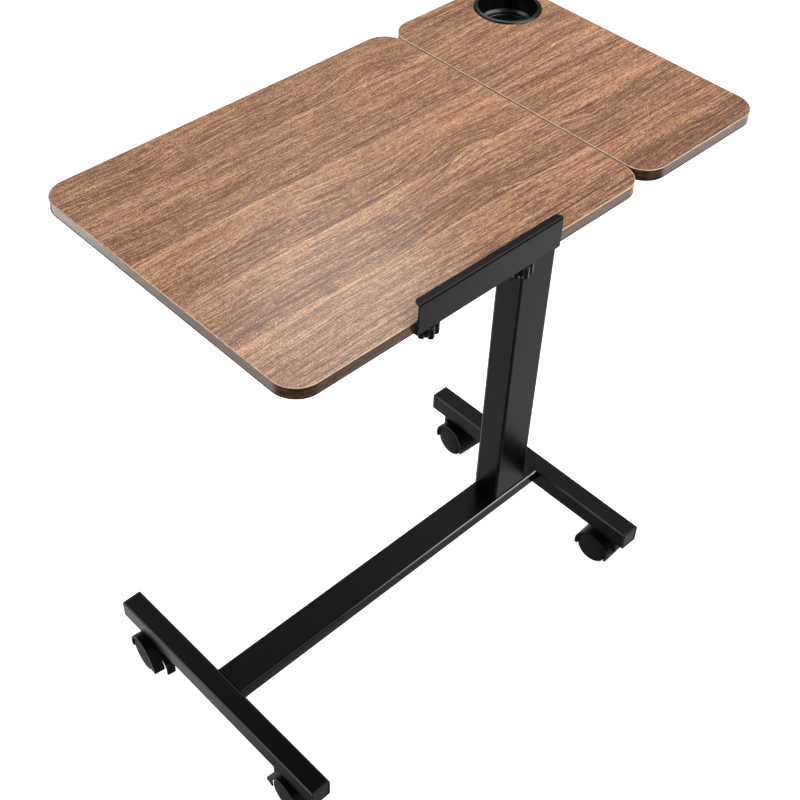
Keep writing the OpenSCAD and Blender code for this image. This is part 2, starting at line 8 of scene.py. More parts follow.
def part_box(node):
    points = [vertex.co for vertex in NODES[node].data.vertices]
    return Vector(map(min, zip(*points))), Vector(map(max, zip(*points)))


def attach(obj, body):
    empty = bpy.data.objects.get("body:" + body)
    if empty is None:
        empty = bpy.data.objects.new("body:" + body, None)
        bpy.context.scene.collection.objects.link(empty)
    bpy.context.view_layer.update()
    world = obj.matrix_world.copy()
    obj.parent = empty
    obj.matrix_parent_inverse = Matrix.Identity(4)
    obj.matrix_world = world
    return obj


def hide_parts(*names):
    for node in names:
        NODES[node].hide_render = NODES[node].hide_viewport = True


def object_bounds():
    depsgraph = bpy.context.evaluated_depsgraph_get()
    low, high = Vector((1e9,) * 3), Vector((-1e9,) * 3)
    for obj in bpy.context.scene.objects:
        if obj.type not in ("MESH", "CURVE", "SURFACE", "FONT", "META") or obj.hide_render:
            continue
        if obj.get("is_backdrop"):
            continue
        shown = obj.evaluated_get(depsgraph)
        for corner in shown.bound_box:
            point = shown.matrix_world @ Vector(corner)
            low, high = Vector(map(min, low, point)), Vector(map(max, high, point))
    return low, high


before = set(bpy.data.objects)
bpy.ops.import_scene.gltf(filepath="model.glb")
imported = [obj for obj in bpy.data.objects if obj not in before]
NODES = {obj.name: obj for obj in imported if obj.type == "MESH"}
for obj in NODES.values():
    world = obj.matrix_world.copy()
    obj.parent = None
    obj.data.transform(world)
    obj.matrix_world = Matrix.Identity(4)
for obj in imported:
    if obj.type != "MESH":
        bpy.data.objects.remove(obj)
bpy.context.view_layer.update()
MM = 0.001


# ------------------------------------------------------------------ node helpers
def new_material(name):
    m = bpy.data.materials.new(name)
    m.use_nodes = True
    nt = m.node_tree
    nt.nodes.clear()
    out = nt.nodes.new("ShaderNodeOutputMaterial")
    bsdf = nt.nodes.new("ShaderNodeBsdfPrincipled")
    nt.links.new(bsdf.outputs[0], out.inputs["Surface"])
    return m, nt, bsdf


def link(nt, a, b):
    nt.links.new(a, b)


def coord(nt):
    return nt.nodes.new("ShaderNodeTexCoord").outputs["Object"]


def mapped(nt, src, scale, loc=(0, 0, 0), rot=(0, 0, 0)):
    n = nt.nodes.new("ShaderNodeMapping")
    n.inputs["Scale"].default_value = scale
    n.inputs["Location"].default_value = loc
    n.inputs["Rotation"].default_value = rot
    link(nt, src, n.inputs["Vector"])
    return n.outputs[0]


def noise(nt, src, scale=1.0, detail=2.0, rough=0.5, dist=0.0):
    n = nt.nodes.new("ShaderNodeTexNoise")
    n.inputs["Scale"].default_value = scale
    n.inputs["Detail"].default_value = detail
    n.inputs["Roughness"].default_value = rough
    n.inputs["Distortion"].default_value = dist
    link(nt, src, n.inputs["Vector"])
    return n.outputs["Fac"]


def voronoi(nt, src, scale=1.0, feature="F1", out="Distance"):
    n = nt.nodes.new("ShaderNodeTexVoronoi")
    n.feature = feature
    n.inputs["Scale"].default_value = scale
    link(nt, src, n.inputs["Vector"])
    return n.outputs[out]


def math_(nt, op, a, b=None, c=None, clamp=False):
    n = nt.nodes.new("ShaderNodeMath")
    n.operation = op
    n.use_clamp = clamp
    for i, v in enumerate((a, b, c)):
        if v is None:
            continue
        if isinstance(v, (int, float)):
            n.inputs[i].default_value = v
        else:
            link(nt, v, n.inputs[i])
    return n.outputs[0]


def ramp(nt, fac, stops, interp="LINEAR"):
    n = nt.nodes.new("ShaderNodeValToRGB")
    cr = n.color_ramp
    cr.interpolation = interp
    while len(cr.elements) > 1:
        cr.elements.remove(cr.elements[-1])
    first = True
    for p, c in stops:
        if isinstance(c, (int, float)):
            c = (c, c, c)
        if first:
            e = cr.elements[0]
            e.position = p
            first = False
        else:
            e = cr.elements.new(p)
        e.color = (c[0], c[1], c[2], 1.0)
    link(nt, fac, n.inputs["Fac"])
    return n.outputs["Color"]


def remap(nt, v, a, b, c=0.0, d=1.0):
    n = nt.nodes.new("ShaderNodeMapRange")
    n.inputs["From Min"].default_value = a
    n.inputs["From Max"].default_value = b
    n.inputs["To Min"].default_value = c
    n.inputs["To Max"].default_value = d
    link(nt, v, n.inputs["Value"])
    return n.outputs[0]


def mix_col(nt, fac, a, b, mode="MIX"):
    n = nt.nodes.new("ShaderNodeMix")
    n.data_type = "RGBA"
    n.blend_type = mode
    for key, v in (("Factor", fac), ("A", a), ("B", b)):
        s = [i for i in n.inputs if i.name == key and (i.type == ("VALUE" if key == "Factor" else "RGBA"))][0]
        if isinstance(v, (int, float)):
            s.default_value = v
        elif isinstance(v, tuple):
            s.default_value = (*v, 1.0)
        else:
            link(nt, v, s)
    return [o for o in n.outputs if o.type == "RGBA"][0]


def bump(nt, bsdf, height, strength, dist, normal=None):
    n = nt.nodes.new("ShaderNodeBump")
    n.inputs["Strength"].default_value = strength
    n.inputs["Distance"].default_value = dist
    link(nt, height, n.inputs["Height"])
    if normal is not None:
        link(nt, normal, n.inputs["Normal"])
    if bsdf is not None:
        link(nt, n.outputs[0], bsdf.inputs["Normal"])
    return n.outputs[0]


def lin(h):
    """Linear colour from a hex string."""
    v = [int(h[i:i + 2], 16) / 255 for i in (1, 3, 5)]
    return tuple(x / 12.92 if x <= 0.04045 else ((x + 0.055) / 1.055) ** 2.4 for x in v)


# ------------------------------------------------------------------ materials
def combine(nt, x, y, z):
    n = nt.nodes.new("ShaderNodeCombineXYZ")
    for i, v in enumerate((x, y, z)):
        if isinstance(v, (int, float)):
            n.inputs[i].default_value = v
        else:
            link(nt, v, n.inputs[i])
    return n.outputs[0]


def around(nt, v, gain, mid=0.5):
    return math_(nt, "MULTIPLY", math_(nt, "SUBTRACT", v, mid), gain)


def total(nt, *vs):
    t = vs[0]
    for v in vs[1:]:
        t = math_(nt, "ADD", t, v)
    return t


def plank_steps(planks):
    out = []
    for (a, _), (b, _) in zip(planks, planks[1:]):
        if b - a < 1.01:
            out.append((b / 400.0, (len(out) * 0.37 + 0.23) % 1.0))
    return out


def seam_stops(planks):
    out = []
    for (a, _), (b, _) in zip(planks, planks[1:]):
        if b - a < 1.01:
            out += [((a - 4.0) / 400.0, 0.0), (a / 400.0, 0.20), ((a + 0.5) / 400.0, 0.0)]
    return out


def rows(nt, x, y, pitch, along, seed):
    """One noise per row across the grain: crisp at the row's edges, smooth along it."""
    row = math_(nt, "FLOOR", math_(nt, "MULTIPLY", y, pitch))
    return noise(nt, combine(nt, math_(nt, "ADD", math_(nt, "MULTIPLY", x, along), math_(nt, "MULTIPLY", row, 3.71)), math_(nt, "MULTIPLY", row, 7.13), seed), 1.0, 0.0, 0.5)


def walnut(name, planks, seed, arches):
    """Walnut-print laminate, grain along X.

    planks gives (y in mm, tone) stops from the front edge, stepping at each plank joint; arches lists
    (x, y, half length, lift) in metres, the places where the figure swells round a knot.
    """
    m, nt, b = new_material(name)
    pos = coord(nt)
    sep = nt.nodes.new("ShaderNodeSeparateXYZ")
    link(nt, pos, sep.inputs[0])
    x, y = sep.outputs["X"], sep.outputs["Y"]
    y01 = remap(nt, y, -0.2, 0.2)
    step = ramp(nt, y01, [(0.0, 0.1)] + plank_steps(planks), "CONSTANT")
    part = math_(nt, "MULTIPLY", step, 9.0)
    # nearly straight grain: a slow drift of a few millimetres, and the local arches
    slow = noise(nt, combine(nt, math_(nt, "MULTIPLY", x, 4.5), math_(nt, "MULTIPLY", y, 9.0), math_(nt, "ADD", part, seed)), 1.0, 1.0, 0.4)
    quick = noise(nt, combine(nt, math_(nt, "MULTIPLY", x, 19.0), math_(nt, "MULTIPLY", y, 42.0), math_(nt, "ADD", part, seed * 1.7)), 1.0, 2.0, 0.5)
    yw = total(nt, y, around(nt, slow, 0.016), around(nt, quick, 0.0042))
    for ax, ay, half, lift in arches:
        u = math_(nt, "DIVIDE", math_(nt, "SUBTRACT", x, ax), half)
        v = math_(nt, "DIVIDE", math_(nt, "SUBTRACT", y, ay), abs(lift) * 2.2)
        r2 = math_(nt, "ADD", math_(nt, "MULTIPLY", u, u), math_(nt, "MULTIPLY", v, v))
        yw = math_(nt, "SUBTRACT", yw, math_(nt, "MULTIPLY", math_(nt, "EXPONENT", math_(nt, "MULTIPLY", r2, -1.0)), lift))
    run = ramp(nt, y01, [(yy / 400.0, t) for yy, t in planks])
    w = combine(nt, x, yw, part)
    broad = noise(nt, mapped(nt, w, (1.6, 46.0, 1.0), (seed * 3, 5, 0)), 1.0, 1.0, 0.5)
    bands = noise(nt, mapped(nt, w, (2.4, 130.0, 1.0), (seed, 0, 0)), 1.0, 2.0, 0.55)
    lines = noise(nt, mapped(nt, w, (4.2, 330.0, 1.0), (seed * 5, 0, 0)), 1.0, 1.0, 0.6)
    # printed fibres: rows about a millimetre wide, each with its own run of tone along the grain
    threads = rows(nt, x, yw, 1240.0, 20.0, seed * 2.3)
    dashes = rows(nt, x, yw, 1350.0, 110.0, seed * 3.1)
    # dark strokes: the rows that carry a long vessel, most of them in the dark wood
    strokes = remap(nt, rows(nt, x, yw, 930.0, 12.0, seed * 4.7), 0.56, 0.63)
    strokes = math_(nt, "MULTIPLY", strokes, remap(nt, math_(nt, "ADD", run, around(nt, bands, 0.8)), 0.72, 0.36, 0.25, 1.0))
    # late-wood lines: thin dark strokes where a slowly varying count crosses a crest
    ring = math_(nt, "SINE", math_(nt, "ADD", math_(nt, "MULTIPLY", yw, 900.0), math_(nt, "MULTIPLY", bands, 13.0)))
    ring = math_(nt, "POWER", remap(nt, ring, -1, 1), 5.0)
    where = noise(nt, mapped(nt, w, (4.0, 15.0, 1.0), (seed * 4, 9, 0)), 1.0, 1.0, 0.4)
    ring = math_(nt, "MULTIPLY", ring, remap(nt, where, 0.42, 0.64))
    # open pores: short dark dashes along the grain, more of them in the dark wood
    pores = noise(nt, mapped(nt, w, (105.0, 700.0, 1.0), (seed, 4, 0)), 1.0, 1.0, 0.5)
    pores = math_(nt, "MULTIPLY", remap(nt, pores, 0.56, 0.70), remap(nt, math_(nt, "ADD", run, around(nt, bands, 0.6)), 0.80, 0.25, 0.35, 1.0), clamp=True)
    # fine crackle of the embossed laminate
    crackle = noise(nt, mapped(nt, pos, (600.0, 1080.0, 300.0), (seed, 0, 0)), 1.0, 0.0, 0.5)
    crackle2 = noise(nt, mapped(nt, pos, (1350.0, 1950.0, 500.0), (0, seed, 0)), 1.0, 0.0, 0.5)
    # bright line on the light side of each plank joint
    seam = ramp(nt, y01, [(0.0, 0.0)] + seam_stops(planks))
    tone = total(nt, run, around(nt, broad, 0.16), around(nt, bands, 0.44), around(nt, lines, 0.30), around(nt, threads, 1.75),
                 around(nt, dashes, 1.4), around(nt, crackle, 0.25), around(nt, crackle2, 3.3), seam, -0.03)
    tone = math_(nt, "SUBTRACT", tone, math_(nt, "MULTIPLY", ring, 0.34))
    tone = math_(nt, "SUBTRACT", tone, math_(nt, "MULTIPLY", strokes, 0.60))
    tone = math_(nt, "SUBTRACT", tone, math_(nt, "MULTIPLY", pores, 0.24))
    tone = remap(nt, tone, -0.5, 1.5)
    col = ramp(nt, tone, WALNUT_RAMP)
    # the print drifts between a reddish and a greyer brown
    hue = noise(nt, mapped(nt, w, (2.0, 20.0, 1.0), (seed * 6, 2, 0)), 1.0, 1.0, 0.5)
    col = mix_col(nt, remap(nt, hue, 0.40, 0.66, 0.0, 0.38), col, (0.95, 0.97, 1.12), "MULTIPLY")
    link(nt, col, b.inputs["Base Color"])
    rough = total(nt, 0.09, math_(nt, "MULTIPLY", pores, 0.12), math_(nt, "MULTIPLY", crackle, 0.06))
    link(nt, rough, b.inputs["Roughness"])
    h = math_(nt, "SUBTRACT", math_(nt, "ADD", math_(nt, "MULTIPLY", crackle, 0.8), math_(nt, "MULTIPLY", crackle2, 0.4)), math_(nt, "MULTIPLY", pores, 0.4))
    bump(nt, b, h, 0.3, 0.00008)
    b.inputs["Specular IOR Level"].default_value = 0.22
    return m


# albedo of the print from the darkest pore to the lightest streak
WALNUT_RAMP = [(0.0, (0.081, 0.043, 0.032)), (0.25, (0.148, 0.075, 0.048)), (0.5, (0.256, 0.127, 0.069)), (0.75, (0.420, 0.227, 0.122)), (1.0, (0.605, 0.375, 0.226))]

# tone stops across each top, from the front edge (0) to the back edge (400 mm): every plank runs from light to dark
MAIN_PLANKS = [(0, 0.42), (28, 0.44), (54, 0.52), (66, 0.64), (80, 0.68), (81, 0.38), (96, 0.40), (112, 0.44), (126, 0.50), (138, 0.58), (152, 0.68), (158, 0.68), (159, 0.46), (178, 0.46),
               (196, 0.50), (204, 0.62), (216, 0.70), (230, 0.66), (239, 0.66), (240, 0.42), (276, 0.44), (290, 0.50), (306, 0.54), (322, 0.62), (330, 0.64), (331, 0.44), (346, 0.43), (360, 0.50), (374, 0.56), (388, 0.52), (400, 0.42)]
SIDE_PLANKS = [(0, 0.12), (18, 0.04), (37, 0.14), (38, 0.50), (52, 0.50), (66, 0.42), (90, 0.38), (106, 0.44), (120, 0.36), (134, 0.36), (135, 0.64), (150, 0.66), (160, 0.52), (178, 0.50), (190, 0.54), (198, 0.38), (210, 0.38), (212, 0.42),
               (213, 0.58), (232, 0.66), (242, 0.60), (252, 0.48), (276, 0.56), (296, 0.50), (322, 0.48), (323, 0.62), (348, 0.62), (360, 0.50), (380, 0.46), (400, 0.46)]
MAIN_ARCHES = [(0.072, 0.158, 0.055, 0.016), (0.045, -0.022, 0.075, 0.018), (-0.150, 0.012, 0.085, 0.010), (-0.235, 0.150, 0.06, -0.010), (-0.02, 0.085, 0.10, -0.006), (0.02, -0.110, 0.07, 0.008)]
SIDE_ARCHES = [(0.205, -0.085, 0.05, -0.008), (0.300, 0.055, 0.07, 0.007), (0.240, -0.165, 0.06, 0.008)]


def edge_band(name, seed):
    """Wood-print edge banding, grain running along the edge, glossy lacquer over it."""
    m, nt, b = new_material(name)
    pos = coord(nt)
    streak = noise(nt, mapped(nt, pos, (2.6, 2.6, 360.0), (seed, seed, 0)), 1.0, 2.0, 0.55)
    fine = noise(nt, mapped(nt, pos, (26.0, 26.0, 900.0), (0, seed, 0)), 1.0, 2.0, 0.55)
    dash = noise(nt, mapped(nt, pos, (90.0, 90.0, 800.0), (0, 2, seed)), 1.0, 1.0, 0.5)
    speck = noise(nt, mapped(nt, pos, (300.0, 300.0, 700.0), (0, 0, seed)), 1.0, 1.0, 0.5)
    t = total(nt, streak, around(nt, fine, 0.8), around(nt, dash, 0.5), around(nt, speck, 0.35))
    col = ramp(nt, t, [(0.22, lin("#160c06")), (0.42, lin("#2b1a0f")), (0.6, lin("#463021")), (0.8, lin("#6a4a33"))])
    link(nt, col, b.inputs["Base Color"])
    link(nt, total(nt, 0.22, math_(nt, "MULTIPLY", fine, 0.14)), b.inputs["Roughness"])
    bump(nt, b, math_(nt, "ADD", fine, math_(nt, "MULTIPLY", speck, 0.6)), 0.3, 0.00012)
    b.inputs["Specular IOR Level"].default_value = 0.45
    b.inputs["Specular Tint"].default_value = (1.0, 0.68, 0.52, 1.0)
    return m


def band_arris_with_painted_highlight(name):
    """Pale colour of the banding where its top edge is trimmed round: partly its light core, partly a painted highlight
    along that edge.
    """
    m, nt, b = new_material(name)
    pos = coord(nt)
    n = noise(nt, mapped(nt, pos, (160.0, 160.0, 300.0)), 1.0, 2.0, 0.6)
    col = ramp(nt, n, [(0.3, lin("#cdb08c")), (0.7, lin("#ecd6b8"))])
    link(nt, col, b.inputs["Base Color"])
    link(nt, math_(nt, "ADD", 0.32, math_(nt, "MULTIPLY", n, 0.12)), b.inputs["Roughness"])
    bump(nt, b, n, 0.15, 0.00005)
    return m


def powder_coat(name, tone=1.0, spec=0.07, ior=1.5, fade=None):
    """Satin black powder coat: near-black, fine orange peel, a few lighter specks."""
    m, nt, b = new_material(name)
    pos = coord(nt)
    peel = noise(nt, mapped(nt, pos, (1.0, 1.0, 1.0)), 620.0, 2.0, 0.5)
    big = noise(nt, mapped(nt, pos, (1.0, 1.0, 1.0), (3, 1, 2)), 9.0, 2.0, 0.5)
    grit = noise(nt, mapped(nt, pos, (1.0, 1.0, 1.0), (7, 7, 7)), 1900.0, 1.0, 0.5)
    t = math_(nt, "ADD", math_(nt, "MULTIPLY", peel, 0.45), math_(nt, "ADD", math_(nt, "MULTIPLY", big, 0.3), math_(nt, "MULTIPLY", grit, 0.3)))
    col = ramp(nt, t, [(0.34, (0.0006 * tone, 0.0006 * tone, 0.00064 * tone)), (0.56, (0.0012 * tone, 0.0012 * tone, 0.00126 * tone)), (0.74, (0.0040 * tone, 0.0040 * tone, 0.0042 * tone))])
    link(nt, col, b.inputs["Base Color"])
    r = math_(nt, "ADD", 0.24, math_(nt, "MULTIPLY", big, 0.07))
    r = math_(nt, "ADD", r, math_(nt, "MULTIPLY", grit, 0.05))
    link(nt, r, b.inputs["Roughness"])
    h = math_(nt, "ADD", peel, math_(nt, "MULTIPLY", grit, 0.35))
    bump(nt, b, h, 0.16, 0.00010)
    b.inputs["Specular IOR Level"].default_value = spec
    b.inputs["IOR"].default_value = ior
    if fade:
        along = nt.nodes.new("ShaderNodeSeparateXYZ")
        link(nt, pos, along.inputs[0])
        link(nt, remap(nt, along.outputs["X"], fade[0], fade[1], fade[2], spec), b.inputs["Specular IOR Level"])
    return m


def plastic(name, dark="#0b0b0c", light="#1b1b1c", rough=0.38, grain=900.0, depth=0.00006, strength=0.25, spec=0.5):
    """Moulded plastic: fine spark-eroded grain and faint flow marks."""
    m, nt, b = new_material(name)
    pos = coord(nt)
    g = noise(nt, pos, grain, 2.0, 0.6)
    flow = noise(nt, mapped(nt, pos, (22.0, 22.0, 60.0), (2, 5, 1)), 1.0, 2.0, 0.5)
    wear = noise(nt, mapped(nt, pos, (70.0, 70.0, 70.0), (8, 3, 4)), 1.0, 3.0, 0.65)
    t = math_(nt, "ADD", math_(nt, "MULTIPLY", g, 0.4), math_(nt, "ADD", math_(nt, "MULTIPLY", flow, 0.35), math_(nt, "MULTIPLY", wear, 0.25)))
    link(nt, ramp(nt, t, [(0.32, lin(dark)), (0.7, lin(light))]), b.inputs["Base Color"])
    r = math_(nt, "ADD", rough - 0.06, math_(nt, "MULTIPLY", wear, 0.14))
    link(nt, r, b.inputs["Roughness"])
    bump(nt, b, g, strength, depth)
    b.inputs["Specular IOR Level"].default_value = spec
    return m


def steel(name, a="#8d9095", c="#c3c6ca", rough=0.30, stretch=(40.0, 40.0, 900.0)):
    """Zinc-plated steel with a faint drawn texture and dull patches."""
    m, nt, b = new_material(name)
    pos = coord(nt)
    draw = noise(nt, mapped(nt, pos, stretch), 1.0, 3.0, 0.6)
    patch = noise(nt, mapped(nt, pos, (60.0, 60.0, 60.0), (1, 2, 3)), 1.0, 3.0, 0.6)
    link(nt, ramp(nt, math_(nt, "ADD", math_(nt, "MULTIPLY", draw, 0.5), math_(nt, "MULTIPLY", patch, 0.5)), [(0.3, lin(a)), (0.7, lin(c))]), b.inputs["Base Color"])
    link(nt, math_(nt, "ADD", rough - 0.08, math_(nt, "MULTIPLY", patch, 0.2)), b.inputs["Roughness"])
    b.inputs["Metallic"].default_value = 1.0
    bump(nt, b, draw, 0.12, 0.00004)
    return m


def rubber(name, dark="#0a0a0a", light="#161616"):
    """Matt foam rubber with small pits."""
    m, nt, b = new_material(name)
    pos = coord(nt)
    cell = voronoi(nt, pos, 900.0)
    n = noise(nt, pos, 400.0, 2.0, 0.6)
    t = math_(nt, "ADD", math_(nt, "MULTIPLY", cell, 0.6), math_(nt, "MULTIPLY", n, 0.4))
    link(nt, ramp(nt, t, [(0.2, lin(dark)), (0.8, lin(light))]), b.inputs["Base Color"])
    link(nt, math_(nt, "ADD", 0.68, math_(nt, "MULTIPLY", n, 0.2)), b.inputs["Roughness"])
    bump(nt, b, t, 0.5, 0.0002)
    return m


M = {
    "main": walnut("walnut_main", MAIN_PLANKS, 3.0, MAIN_ARCHES),
    "side": walnut("walnut_side", SIDE_PLANKS, 11.0, SIDE_ARCHES),
    "band": edge_band("edge_band", 5.0),
    "arris": band_arris_with_painted_highlight("edge_band_arris"),
    "coat": powder_coat("powder_coat"),
    "bar": powder_coat("powder_coat_bar", 1.4, 0.10),
    "coat_edge": powder_coat("powder_coat_edge", 1.0, 0.35),
    "rail_edge": powder_coat("powder_coat_rail_edge", 1.0, 0.5, 2.2, (-0.13, 0.22, 0.05)),
    "plastic": plastic("black_plastic", "#030304", "#0c0c0d", 0.36, 900.0, 0.00006, 0.25, 0.2),
    "cap": plastic("cap_plastic", "#070708", "#121213", 0.44, 700.0, 0.0001, 0.35, 0.25),
    "hood": plastic("hood_plastic", "#020202", "#070708", 0.42, 1100.0, 0.00005, 0.2, 0.10),
    "hood_edge": plastic("hood_plastic_edge", "#020202", "#070708", 0.34, 1100.0, 0.00003, 0.1, 0.6),
    "wheel": plastic("wheel_plastic", "#040404", "#0c0c0d", 0.56, 800.0, 0.00005, 0.2, 0.10),
    "cup": plastic("cup_plastic", "#020203", "#080909", 0.26, 1300.0, 0.00003, 0.15, 0.3),
    "knob": plastic("knob_plastic", "#020202", "#080808", 0.20, 1200.0, 0.00003, 0.12, 0.35),
    "steel": steel("zinc_steel"),
    "brass": steel("turned_brass", "#8a6a2c", "#c9a455", 0.26),
    "rubber": rubber("pad_rubber"),
    "nylon": plastic("bush_nylon", "#b9b6aa", "#d8d5cb", 0.42, 600.0, 0.00005, 0.2),
}


# ------------------------------------------------------------------ mesh helpers
def make(name, verts, faces, mats, body, replaces=(), face_mats=None, smooth=35.0, weighted=True):
    me = bpy.data.meshes.new(name)
    me.from_pydata([tuple(v) for v in verts], [], faces)
    me.validate()
    bm = bmesh.new()
    bm.from_mesh(me)
    bmesh.ops.recalc_face_normals(bm, faces=bm.faces)
    bm.to_mesh(me)
    bm.free()
    o = bpy.data.objects.new(name, me)
    bpy.context.scene.collection.objects.link(o)
    for m in (mats if isinstance(mats, (list, tuple)) else [mats]):
        me.materials.append(m)
    if face_mats:
        me.polygons.foreach_set("material_index", face_mats)
    me.polygons.foreach_set("use_smooth", [True] * len(me.polygons))
    me.set_sharp_from_angle(angle=math.radians(smooth))
    if weighted:
        w = o.modifiers.new("normals", "WEIGHTED_NORMAL")
        w.keep_sharp = True
        w.weight = 100
    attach(o, body)
    if replaces:
        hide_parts(*replaces)
    return o


def rr_outline(w, d, r, seg=24):
    """Rounded rectangle, counter-clockwise, centred on 0."""
    pts = []
    for cx, cy, a0 in ((w / 2 - r, d / 2 - r, 0), (-w / 2 + r, d / 2 - r, 90), (-w / 2 + r, -d / 2 + r, 180), (w / 2 - r, -d / 2 + r, 270)):
        for i in range(seg + 1):
            a = math.radians(a0 + 90 * i / seg)
            pts.append((cx + r * math.cos(a), cy + r * math.sin(a)))
    return pts


def inset(pts, b):
    """Moves every point of a closed counter-clockwise outline inwards by b along its mean normal."""
    out, n = [], len(pts)
    for i in range(n):
        p, q, s = Vector(pts[i - 1]), Vector(pts[i]), Vector(pts[(i + 1) % n])
        d1, d2 = (q - p), (s - q)
        if d1.length < 1e-9 or d2.length < 1e-9:
            d1 = d2 = s - p
        d1.normalize()
        d2.normalize()
        n1, n2 = Vector((-d1.y, d1.x)), Vector((-d2.y, d2.x))
        m = n1 + n2
        k = m.length
        if k < 1e-6:
            out.append(tuple(q))
            continue
        m /= k
        out.append(tuple(q + m * (b / max(0.4, m.dot(n1)))))
    return out


def ring_stack(rings, cap0=True, cap1=True, close=True):
    """Faces between closed rings of points, with end caps. Returns verts, faces."""
    verts, faces = [], []
    n = len(rings[0])
    for r in rings:
        verts += [tuple(p) for p in r]
    for k in range(len(rings) - 1):
        a, b = k * n, (k + 1) * n
        for i in range(n):
            j = (i + 1) % n
            faces.append((a + i, a + j, b + j, b + i))
    if cap0:
        faces.append(tuple(reversed(range(n))))
    if cap1:
        faces.append(tuple(range((len(rings) - 1) * n, len(rings) * n)))
    return verts, faces


def prism(outline, z0, z1, bev, steps=3):
    """Extruded outline with round arrises at both ends, as rings in local XYZ."""
    rings = []
    for i in range(steps + 1):
        a = math.pi / 2 * i / steps
        rings.append([(x, y, z0 + bev * (1 - math.sin(a))) for x, y in inset(outline, bev * (1 - math.cos(a)))])
    for i in range(steps + 1):
        a = math.pi / 2 * (1 - i / steps)
        rings.append([(x, y, z1 - bev * (1 - math.sin(a))) for x, y in inset(outline, bev * (1 - math.cos(a)))])
    # first ring starts fully inset
    rings[0] = [(x, y, z0) for x, y in inset(outline, bev)]
    rings[-1] = [(x, y, z1) for x, y in inset(outline, bev)]
    return rings


def revolve(profile, seg=96, closed=False):
    """Turned about Z: profile is (r, z); points with r 0 become one vertex."""
    verts, faces, idx = [], [], []
    for r, z in profile:
        if r < 1e-9:
            idx.append([len(verts)] * seg)
            verts.append((0.0, 0.0, z))
        else:
            idx.append(list(range(len(verts), len(verts) + seg)))
            verts += [(r * math.cos(2 * math.pi * i / seg), r * math.sin(2 * math.pi * i / seg), z) for i in range(seg)]
    pairs = list(zip(idx, idx[1:]))
    if closed:
        pairs.append((idx[-1], idx[0]))
    for a, b in pairs:
        for i in range(seg):
            j = (i + 1) % seg
            f = []
            for v in (a[i], a[j], b[j], b[i]):
                if v not in f:
                    f.append(v)
            if len(f) > 2:
                faces.append(tuple(f))
    return verts, faces


def round_profile(pts, radii, steps=4):
    """Rounds the corners of a profile: radii gives one radius per point, 0 for sharp."""
    out = []
    for i, (p, r) in enumerate(zip(pts, radii)):
        if r <= 0 or i in (0, len(pts) - 1):
            out.append(p)
            continue
        P, A, B = Vector(p), Vector(pts[i - 1]), Vector(pts[i + 1])
        u, v = (A - P), (B - P)
        lu, lv = u.length, v.length
        u.normalize()
        v.normalize()
        half = math.acos(max(-1, min(1, u.dot(v)))) / 2
        t = min(r / max(math.tan(half), 1e-6), lu * 0.49, lv * 0.49)
        rr = t * math.tan(half)
        c = P + (u + v).normalized() * (rr / math.sin(half))
        a0, a1 = P + u * t - c, P + v * t - c
        ang0, ang1 = math.atan2(a0.y, a0.x), math.atan2(a1.y, a1.x)
        d = (ang1 - ang0 + math.pi) % (2 * math.pi) - math.pi
        for k in range(steps + 1):
            a = ang0 + d * k / steps
            out.append((c.x + rr * math.cos(a), c.y + rr * math.sin(a)))
    return out


def merge(*parts):
    verts, faces = [], []
    for v, f in parts:
        b = len(verts)
        verts += list(v)
        faces += [tuple(i + b for i in q) for q in f]
    return verts, faces


def xf(part, m):
    v, f = part
    return [tuple(m @ Vector(p)) for p in v], f


def centre_size(node):
    lo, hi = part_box(node)
    return (lo + hi) / 2, hi - lo


